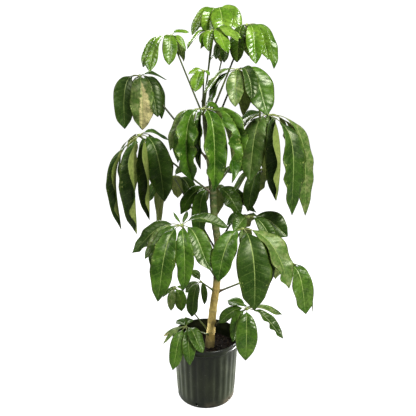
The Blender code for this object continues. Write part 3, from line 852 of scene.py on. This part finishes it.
plan_leaf(
    "base_left", 0.262, (-0.073, -0.100, 0.343), YOUNG, 0.62, "...PB",
    (240, 0.092, 0.128, 0.052),
    (280, 0.090, 0.102, 0.048),
    (312, 0.090, 0.066, 0.054, 0, 22),
    (200, 0.088, 0.052, 0.020),
    (180, 0.086, 0.036, 0.018),
    (128, 0.060, -0.002, 0.036, 0, 40),
    (72, 0.058, 0.000, 0.036, 0, 40),
)
plan_leaf(
    "base_right", 0.300, (0.154, -0.050, 0.392), MATURE, 0.60, "....DP",
    (264, 0.082, 0.166, 0.080, 0, 12, 14),
    (220, 0.066, 0.114, 0.050),
    (188, 0.108, 0.050, 0.050, 0, 22),
    (150, 0.082, -0.010, 0.044, 0, 42),
    (330, 0.146, 0.084, 0.046, -20, 12, 30),
    (4, 0.132, 0.034, 0.032, 0, 15, 35),
    (80, 0.072, 0.032, 0.040),
)

print("leaves:", len(LEAVES), "with", sum(len(leaf.leaflets) for leaf in LEAVES.values()), "leaflets")

# %% [markdown]
# ## The leaf stalks
# Each stalk clasps the trunk with a swollen base, is nearly straight and a little thicker at
# both ends, and carries the hub. It is olive green, browner where it clasps the trunk and
# lighter green on young leaves. A curve object with a bevel would do, but then the base
# couldn't swell.

# %% Stalk finish
def stalk_finish():
    stalk = Finish("leaf_stalk_skin")
    cloud = stalk.noise(40.0, 3.0)
    along = stalk.trait("along")
    green = stalk.mix(stalk.band(cloud, 0.35, 0.65), (0.050, 0.066, 0.020), (0.105, 0.130, 0.036))
    brown = (0.075, 0.052, 0.026)
    colour = stalk.mix(stalk.band(along, 0.16, 0.02), green, brown)
    colour = stalk.mix(stalk.times(stalk.trait("young"), 0.35), colour, (0.16, 0.23, 0.055))
    ridges = stalk.noise(320.0, 2.0, 0.5, stalk.place(0.12))
    return stalk.done(colour, 0.46, Normal=stalk.bump(ridges, 0.0004, 0.5))


stalk_skin = stalk_finish()

# %% Make the stalks
STALK_BOW = STALK_SWAY = 0.012  # as shares of its length


def bezier(points, t):
    """The point and the direction at share t of a cubic Bezier curve."""
    a, b, c, d = points
    s = 1.0 - t
    place = a * s**3 + b * 3 * s * s * t + c * 3 * s * t * t + d * t**3
    slope = (b - a) * s * s + (c - b) * 2 * s * t + (d - c) * t * t
    return place, slope.normalized()


def make_stalk(name, leaf):
    centre, trunk_radius = trunk_at(leaf.node)
    hub = Vector(leaf.hub)
    outward = Vector((hub.x - centre.x, hub.y - centre.y, 0.0)).normalized()
    start = centre + outward * trunk_radius * 0.75
    along = (hub - start).normalized()
    length = (hub - start).length
    bow = UP * -STALK_BOW * length
    sway = along.cross(UP).normalized() * length * random.Random(name).uniform(-STALK_SWAY, STALK_SWAY)
    curve = (start, start + along * length * 0.33 + bow + sway, hub - along * length * 0.33 + bow * 0.5, hub)
    young = 1.0 if leaf.size is YOUNG else 0.0
    shell = Shell("along", "young")
    rings, values, sides, spans = [], [], 12, 30
    for step in range(spans + 1):
        t = (step / spans) ** 1.3
        place, direction = bezier(curve, t)
        girth = 1.0 + 1.3 * math.exp(-t * length / 0.009) + 0.35 * math.exp(-(1 - t) * length / 0.007)
        rings.append(round_ring(place, direction, leaf.size.stalk_radius * girth * (1.06 - 0.16 * t), sides))
        values.append([(t, young)] * sides)
    shell.add_rings(rings, values)
    solid_rings.append(rings[: spans - 3])  # its last stretch is inside the hub
    return dress(shell.finish("stem_" + name, stalk_skin), "stalk_" + name)


stalks = [make_stalk(name, leaf) for name, leaf in LEAVES.items()]
print("stalks:", len(stalks))

# %% [markdown]
# ## The leaf finish
# A leaflet is glossy on top and pale and duller underneath. A yellow-green midrib runs down it,
# fine side veins leave the midrib in pairs, and the blade between them is slightly quilted. All
# of that follows the blade and not the world, so each point of the mesh stores where it lies:
# across the blade from -1 to 1, and along it from 0 to 1. The finish turns those two numbers
# into veins. A stored age makes the crown's young leaflets yellow-green and the rest dark. A
# stored tone paints shade on some leaflets and a pale sheen on others.

# %% Leaf finish
def leaf_finish():
    leaf = Finish("umbrella_leaf")
    across, along = leaf.trait("across"), leaf.trait("along")
    age, tone, under = leaf.trait("age"), leaf.trait("tone"), leaf.trait("under")
    off_middle = leaf.math("ABSOLUTE", across)
    cloud = leaf.noise(22.0, 4.0, 0.6)
    mottle = leaf.noise(120.0, 3.0, 0.6)
    cloudy = leaf.band(cloud, 0.34, 0.66)
    old = leaf.mix(cloudy, (0.005, 0.022, 0.001), (0.023, 0.069, 0.003))
    mid = leaf.mix(cloudy, (0.020, 0.071, 0.003), (0.066, 0.156, 0.008))
    young = leaf.mix(cloudy, (0.075, 0.180, 0.006), (0.200, 0.340, 0.026))
    top = leaf.mix(leaf.band(age, 1.0, 0.5), old, mid)
    top = leaf.mix(leaf.band(age, 0.5, 0.0), top, young)
    # painted sheen: a stored tone over one half lightens the blade to a mottled pale green. P and B leaflets
    # take the full share, as a sheen on a leaflet that catches the light; the random tones of the other
    # leaflets pale them a little as their own tone.
    blotch = leaf.noise(42.0, 5.0, 0.7)
    pale = leaf.mix(leaf.band(blotch, 0.42, 0.66), (0.080, 0.150, 0.026), (0.270, 0.300, 0.110))
    top = leaf.mix(leaf.band(tone, 0.5, 1.0, 0.0, 0.62), top, pale)
    # painted shade: a stored tone under one half darkens the blade towards near-black green. A D leaflet
    # takes the full share, as shade on a leaflet that faces away from the light; the random tones of the
    # other leaflets darken them a little as their own tone.
    top = leaf.mix(leaf.band(tone, 0.5, 0.0, 0.0, 0.6), top, (0.010, 0.028, 0.003))
    edge = leaf.band(off_middle, 0.80, 1.0, 0.0, 0.35)
    top = leaf.mix(edge, top, (0.160, 0.240, 0.030))

    # midrib and side veins
    rib_width = leaf.band(along, 0.0, 1.0, 0.066, 0.017)
    rib = leaf.band(leaf.math("DIVIDE", off_middle, rib_width), 1.0, 0.45)
    slant = leaf.math("MULTIPLY_ADD", off_middle, -0.085, along)
    wobble = leaf.math("MULTIPLY_ADD", mottle, 0.012, slant)
    side = leaf.math("PINGPONG", leaf.times(wobble, 11.0), 0.5)
    side_vein = leaf.band(side, 0.055, 0.0)
    side_vein = leaf.times(side_vein, leaf.band(off_middle, 0.95, 0.6))
    vein_colour = leaf.mix(age, (0.400, 0.520, 0.130), (0.250, 0.320, 0.095))

    # a bleached patch that starts on the midrib and widens to one side, and the underside
    off_patch = leaf.math("ABSOLUTE", leaf.math("MULTIPLY_ADD", along, -0.46, across))
    ragged = leaf.math("MULTIPLY_ADD", leaf.noise(80.0, 5.0, 0.65), 0.70, off_patch)
    inside = leaf.math("SUBTRACT", leaf.math("MULTIPLY_ADD", along, 1.10, 0.22), ragged)
    bleached = leaf.times(leaf.band(inside, -0.04, 0.12), leaf.band(tone, 1.2, 1.8, 0.0, 0.88))
    bleached = leaf.times(bleached, leaf.band(side_vein, 0.0, 1.0, 1.0, 0.45))
    top = leaf.mix(bleached, top, (0.560, 0.490, 0.220))
    below = leaf.mix(leaf.band(age, 0.2, 0.8), (0.280, 0.420, 0.075), (0.190, 0.245, 0.048))
    below = leaf.mix(leaf.band(mottle, 0.3, 0.7, 0.0, 0.45), below, (0.095, 0.145, 0.032))
    below = leaf.mix(leaf.band(cloud, 0.40, 0.62, 0.0, 0.35), below, (0.330, 0.340, 0.110))
    colour = leaf.mix(under, top, below)
    colour = leaf.mix(leaf.times(side_vein, 0.20), colour, vein_colour)
    colour = leaf.mix(leaf.times(rib, 0.80), colour, vein_colour)
    colour = leaf.mix(leaf.band(along, 0.03, -0.04, 0.0, 0.8), colour, (0.270, 0.300, 0.090))
    colour = leaf.mix(leaf.band(mottle, 0.58, 0.34, 0.0, 0.40), colour, (0.006, 0.018, 0.001))
    flecks = leaf.noise(260.0, 3.0, 0.7)
    colour = leaf.mix(leaf.band(flecks, 0.54, 0.72, 0.0, 0.28), colour, (0.215, 0.300, 0.060))

    quilt = leaf.times(leaf.band(side, 0.0, 0.5), leaf.band(off_middle, 0.0, 0.5))
    height = leaf.math("MULTIPLY_ADD", quilt, 0.5, leaf.times(mottle, 0.30))
    height = leaf.math("ADD", height, leaf.times(cloud, 2.2))
    normal = leaf.bump(height, 0.0022, 0.5)
    gloss = leaf.band(cloud, 0.30, 0.70, 0.14, 0.29)
    gloss = leaf.math("MULTIPLY_ADD", age, 0.21, gloss)
    roughness = leaf.math("MULTIPLY_ADD", under, 0.25, gloss)
    shine = leaf.mix(age, (1.0, 1.0, 0.98), (0.93, 1.0, 0.58))
    return leaf.done(colour, roughness, Normal=normal, Specular_IOR_Level=0.38, Specular_Tint=shine)


leaf_skin = leaf_finish()

# %% [markdown]
# ## The leaflets
# Each leaflet starts as its own thin round stalk, widens into a blade, arches over and hangs
# down. Its midrib is one smooth curve. The blade folds up a little from the midrib, rolls down
# again towards its margins, and its margins are wavy. Modelling one leaflet and copying it
# would show at once, so every leaflet is drawn from its own line of the plan, with waves and a
# twist of its own. A leaflet is one closed skin with a top and an underside.

# %% Leaflet outline and midrib
PETIOLULE = 0.14  # the share of a leaflet that is its own little stalk
PETIOLULE_RADIUS = 0.0015
BLADE_THICKNESS = 0.0009
WIDEST_AT = 1.06
FLESHINESS = 0.62
TIP_HALF = 0.0006
LIGHT_TURN = 32  # degrees
HANG = 0.30
LEAVE_PULL, ARRIVE_PULL = 0.42, 0.36
TOP_ROW = (-1.0, -0.88, -0.68, -0.46, -0.26, -0.10, 0.0, 0.10, 0.26, 0.46, 0.68, 0.88, 1.0)
SPANS = 30


def midrib(hub, leaflet):
    """The Bezier curve of a leaflet: out from the hub, over, and down to its tip."""
    out = heading_vector(leaflet.heading)
    tip = hub + out * leaflet.reach - UP * leaflet.drop
    chord = (tip - hub).length
    chord_angle = math.atan2(-leaflet.drop, leaflet.reach)
    first = math.radians(leaflet.lift)
    last = chord_angle + HANG * (chord_angle - first)
    leave = out * math.cos(first) + UP * math.sin(first)
    arrive = out * math.cos(last) + UP * math.sin(last)
    return hub, hub + leave * chord * LEAVE_PULL, tip - arrive * chord * ARRIVE_PULL, tip


def half_width(leaflet, share):
    """Half of the blade's width at a share of its length, with a drawn-out tip."""
    if share <= 0.0 or share >= 1.0:
        return TIP_HALF
    outline = math.sin(math.pi * share**WIDEST_AT) ** FLESHINESS
    return max(TIP_HALF, leaflet.width / 2 * outline * (1 - 0.34 * smooth(0.84, 0.98, share)))


# %% What the dice decide
Habit = namedtuple("Habit", "turn_by waves phases ripple scallop sway layer curl twist roll fold")


def draw_habit(leaflet, length, dice, freedom):
    """The more freedom a leaflet has, the further it may stray from the plan."""
    to_light = LIGHT_TURN * math.sin(math.radians(leaflet.heading - 270)) + leaflet.turn
    return Habit(
        turn_by=to_light + dice.uniform(-9, 9) * freedom,
        waves=dice.uniform(2.0, 3.6) * length / 0.2,
        phases=(dice.uniform(0, 6.28), dice.uniform(0, 6.28)),
        ripple=dice.uniform(0.07, 0.15) * (1 + max(0, leaflet.fold - 12) / 22),
        scallop=dice.uniform(0.02, 0.06),
        sway=dice.uniform(-0.05, 0.05) * length * freedom,
        layer=dice.uniform(-0.003, 0.003) * freedom,
        curl=dice.uniform(-0.02, 0.07) * length,
        twist=math.radians(dice.uniform(-16, 16)),
        roll=dice.uniform(0.08, 0.30),
        fold=math.radians(leaflet.fold * dice.uniform(0.8, 1.2)),
    )


# %% Leaflet shape
def blade_stance(curve, level, habit, t):
    """Where a leaflet is at share t of its curve, which way is sideways, and its upper side."""
    place, direction = bezier(curve, t)
    face = direction.cross(level)
    turn = math.radians(habit.turn_by) * smooth(0.0, 0.5, t) + habit.twist * smooth(0.4, 1.0, t)
    sideways = level * math.cos(turn) + face * math.sin(turn)
    face = face * math.cos(turn) - level * math.sin(turn)
    curl = face * habit.curl * smooth(0.7, 1.1, t)
    place = place + sideways * habit.sway * math.sin(math.pi * t) * t + curl
    return place + face * habit.layer * smooth(0.1, 0.4, t), sideways, face


def blade_section(leaflet, habit, stance, blade):
    """The upper and the lower points across a leaflet at a share of its blade."""
    place, sideways, face = stance
    sheet = smooth(-0.02, 0.05, blade)  # 0 on the little stalk, 1 on the blade
    half = half_width(leaflet, blade) * sheet + PETIOLULE_RADIUS * (1 - sheet)
    thick = BLADE_THICKNESS / 2 * sheet + PETIOLULE_RADIUS * (1 - sheet)
    upper, lower = [], []
    for u in TOP_ROW:
        side = abs(u)
        phase = habit.phases[0 if u < 0 else 1]
        flapped = u * leaflet.flap > 0
        beat = 6.283 * habit.waves * blade * (0.6 if flapped else 1.0) + phase
        crest = math.sin(beat + 1.1 * math.sin(beat * 0.37)) * smooth(0.02, 0.2, blade)
        wave = habit.ripple * (2.0 if flapped else 1.0) * side**1.6 * crest
        rise = half * (wave - habit.roll * side**2.4 * (0.3 if flapped else 1.0)) * sheet
        scallop = habit.scallop * side**2 * math.cos(4.4 * habit.waves * blade + phase * 2)
        reach = half * side * (1 + scallop * sheet)
        bent = habit.fold * smooth(0.0, 0.06, side)
        if flapped:
            bent += math.radians(abs(leaflet.flap)) * smooth(0.0, 0.28, side)
        bent *= smooth(0.0, 0.14, blade)
        outward = sideways * (1 if u >= 0 else -1)
        along_half = outward * math.cos(bent) + face * math.sin(bent)
        off_half = face * math.cos(bent) - outward * math.sin(bent)
        body = thick * math.sqrt(max(0.0, 1 - u * u))
        groove = 0.0009 * math.exp(-((u / 0.09) ** 2)) * sheet
        middle = place + along_half * reach + off_half * rise
        upper.append(middle + off_half * (body - groove))
        lower.append(middle - off_half * (body + groove * 0.9))
    return upper, lower


def leaflet_rings(hub, leaflet, age, tone, dice, freedom):
    """The closed rings of one leaflet, and for each point what its finish needs."""
    curve = midrib(hub, leaflet)
    length = (curve[3] - hub).length * 1.08
    level = heading_vector(leaflet.heading + 90)
    habit = draw_habit(leaflet, length, dice, freedom)
    rings, values = [], []
    for step in range(SPANS + 1):
        t = 0.01 + 0.99 * step / SPANS
        blade = (t - PETIOLULE) / (1 - PETIOLULE)
        upper, lower = blade_section(leaflet, habit, blade_stance(curve, level, habit, t), blade)
        rings.append(upper + lower[-2:0:-1])
        above, below = [[(u, blade, age, tone, under) for u in TOP_ROW] for under in (0.0, 1.0)]
        values.append(above + below[-2:0:-1])
    return rings, values


print("points round each leaflet:", 2 * len(TOP_ROW) - 2)

# %% [markdown]
# A whorl is one piece: its leaflets and the small knuckle that they grow from. The knuckle is a
# short stack of rings too, so that it needs no other kind of mesh. Real leaflets push each other
# aside. Here each one is tested against all that is in place, and drawn again until it is clear.

# %% Make the whorls
# D paints shade on a leaflet, P paints a pale sheen on it, and B gives it a bleached patch under the same
# painted sheen
TONE_AND_LIGHT_VALUES = {"D": 0.0, "P": 1.0, "B": 2.0}  # the letters of the plan
BLADE_START = 6  # the rings before it are inside the knuckle or near it, and aren't tested
TRIES = 40
MORE_FREEDOM = 0.1  # at each new try
placed = [search_tree(shell_rings) for shell_rings in solid_rings]


def draw_clear(hub, leaflet, age, tone, name):
    """Draws a leaflet until it is clear of what is in place, and keeps the best try."""
    best = None
    for attempt in range(TRIES):
        dice = random.Random(f"{name} {leaflet.heading} {attempt}")
        rings, values = leaflet_rings(hub, leaflet, age, tone, dice, 1.0 + MORE_FREEDOM * attempt)
        tree = search_tree(rings[BLADE_START:])
        hits = sum(len(tree.overlap(other)) for other in placed)
        if best is None or hits < best[0]:
            best = (hits, tree, rings, values)
        if hits == 0:
            break
    placed.append(best[1])
    hit_counts.append(best[0])
    return best[2], best[3]


def add_knuckle(shell, hub, radius, age):
    rings, values, sides, spans = [], [], 14, 6
    for step in range(spans + 1):
        turn = math.radians(15 + 150 * step / spans)
        centre = hub - UP * math.cos(turn) * radius * 0.95
        rings.append(round_ring(centre, UP, radius * math.sin(turn), sides))
        values.append([(0.0, 0.0, age, 0.5, 0.6)] * sides)
    shell.add_rings(rings, values)


def make_whorl(name, leaf):
    dice = random.Random(name)
    hub = Vector(leaf.hub)
    shell = Shell("across", "along", "age", "tone", "under")
    add_knuckle(shell, hub, leaf.size.hub_radius, leaf.age)
    for index, leaflet in enumerate(leaf.leaflets):
        own_age = min(1.0, max(0.0, leaf.age + dice.uniform(-0.12, 0.12)))
        chance = dice.uniform(0.30, 0.70)
        tone = TONE_AND_LIGHT_VALUES.get(leaf.tones[index : index + 1], chance)
        shell.add_rings(*draw_clear(hub, leaflet, own_age, tone, name))
    return dress(shell.finish("blades_" + name, leaf_skin), "leaflets_" + name)


whorls = [make_whorl(name, leaf) for name, leaf in LEAVES.items()]
print("whorls:", len(whorls), "with", sum(len(w.data.polygons) for w in whorls), "faces")
print("leaflets that still touch another piece:", sum(hits > 0 for hits in hit_counts))

# %% [markdown]
# ## Floor, light and camera
# A plant like this is shown against white, in soft light from all round with a stronger light
# above and in front. The floor is one large pale disc. The sky is plain white where it is seen
# and dimmer where it lights the plant, so that the folds between leaves stay dark. Two narrow
# low lamps, one at each side, give the dark pot its pale edges.

# %% Floor
FLOOR_RADIUS = 40
FLOOR_LEVELS = (-0.02, -0.0005)


def make_floor():
    shell = Shell()
    rings = [[out * FLOOR_RADIUS + UP * level for out in circle(64)] for level in FLOOR_LEVELS]
    shell.add_rings(rings)
    paint = Finish("studio_floor")
    shade = paint.mix(paint.band(paint.noise(3.0), 0.3, 0.7), (0.27, 0.27, 0.27), (0.30, 0.30, 0.30))
    seen = paint.node("LightPath", {}, "Is Camera Ray")
    white = (1.0, 1.0, 1.0)
    floor = shell.finish(
        "studio_floor", paint.done(shade, 0.9, Emission_Color=white, Emission_Strength=seen)
    )
    floor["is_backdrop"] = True
    return floor


print("floor:", len(make_floor().data.polygons), "faces")

# %% Sky and lamps
SKY_SEEN, SKY_LIGHT = 1.15, 0.15


def make_sky():
    sky = bpy.data.worlds.new("studio_sky")
    sky.use_nodes = True
    nodes, links = sky.node_tree.nodes, sky.node_tree.links
    light = nodes.new("ShaderNodeBackground")
    seen = nodes.new("ShaderNodeBackground")
    light.inputs["Color"].default_value = seen.inputs["Color"].default_value = (1, 1, 1, 1)
    light.inputs["Strength"].default_value = SKY_LIGHT
    seen.inputs["Strength"].default_value = SKY_SEEN
    ray, choose = nodes.new("ShaderNodeLightPath"), nodes.new("ShaderNodeMixShader")
    links.new(ray.outputs["Is Camera Ray"], choose.inputs[0])
    links.new(light.outputs[0], choose.inputs[1])
    links.new(seen.outputs[0], choose.inputs[2])
    links.new(choose.outputs[0], nodes["World Output"].inputs["Surface"])
    bpy.context.scene.world = sky


def add_lamp(name, place, aim, size, power, spread=180):
    lamp = bpy.data.lights.new(name, "AREA")
    lamp.size, lamp.energy, lamp.spread = size, power, math.radians(spread)
    made = add_object(name, lamp)
    made.location = place
    made.rotation_euler = (Vector(aim) - Vector(place)).to_track_quat("-Z", "Y").to_euler()
    return made


make_sky()
lamps = [
    add_lamp("key_softbox", (1.8, -2.1, 3.3), (0, 0, 0.9), 1.3, 245),
    add_lamp("left_softbox", (-2.2, -1.2, 2.6), (0, 0, 0.9), 0.9, 40),
    add_lamp("back_softbox", (-1.1, 2.3, 2.2), (0, 0, 0.8), 1.3, 70),
    add_lamp("left_pot_light", (-1.1, 0.28, 0.10), (0, 0, 0.10), 0.26, 1.4, 12),
    add_lamp("right_pot_light", (1.1, 0.28, 0.10), (0, 0, 0.10), 0.26, 1.6, 12),
]
print("lamps:", len(lamps))

# %% Camera
PITCH = 15.33  # degrees below level
LENS = 43.27
camera = add_object("camera", bpy.data.cameras.new("camera"))
camera.data.lens = LENS
camera.data.sensor_width = 36.0
camera.location = (0.008, -1.7556, 1.2505)
camera.rotation_euler = (math.radians(90 - PITCH), 0.0, 0.0)
bpy.context.scene.camera = camera
bpy.context.scene.view_settings.view_transform = "Standard"
print("camera pitched down", PITCH, "degrees")

# %% [markdown]
# ## Last measurements
# Both boxes, the measured model's and the dressed plant's, are printed side by side before the
# scene is closed. The dressed plant has to keep to the measured model's box.

# %% Print the boxes and finish
boxes = {"cad": cad_box, "visual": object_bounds()}
boxes = {name: [[float(v) for v in corner] for corner in box] for name, box in boxes.items()}
print("boxes:", boxes)
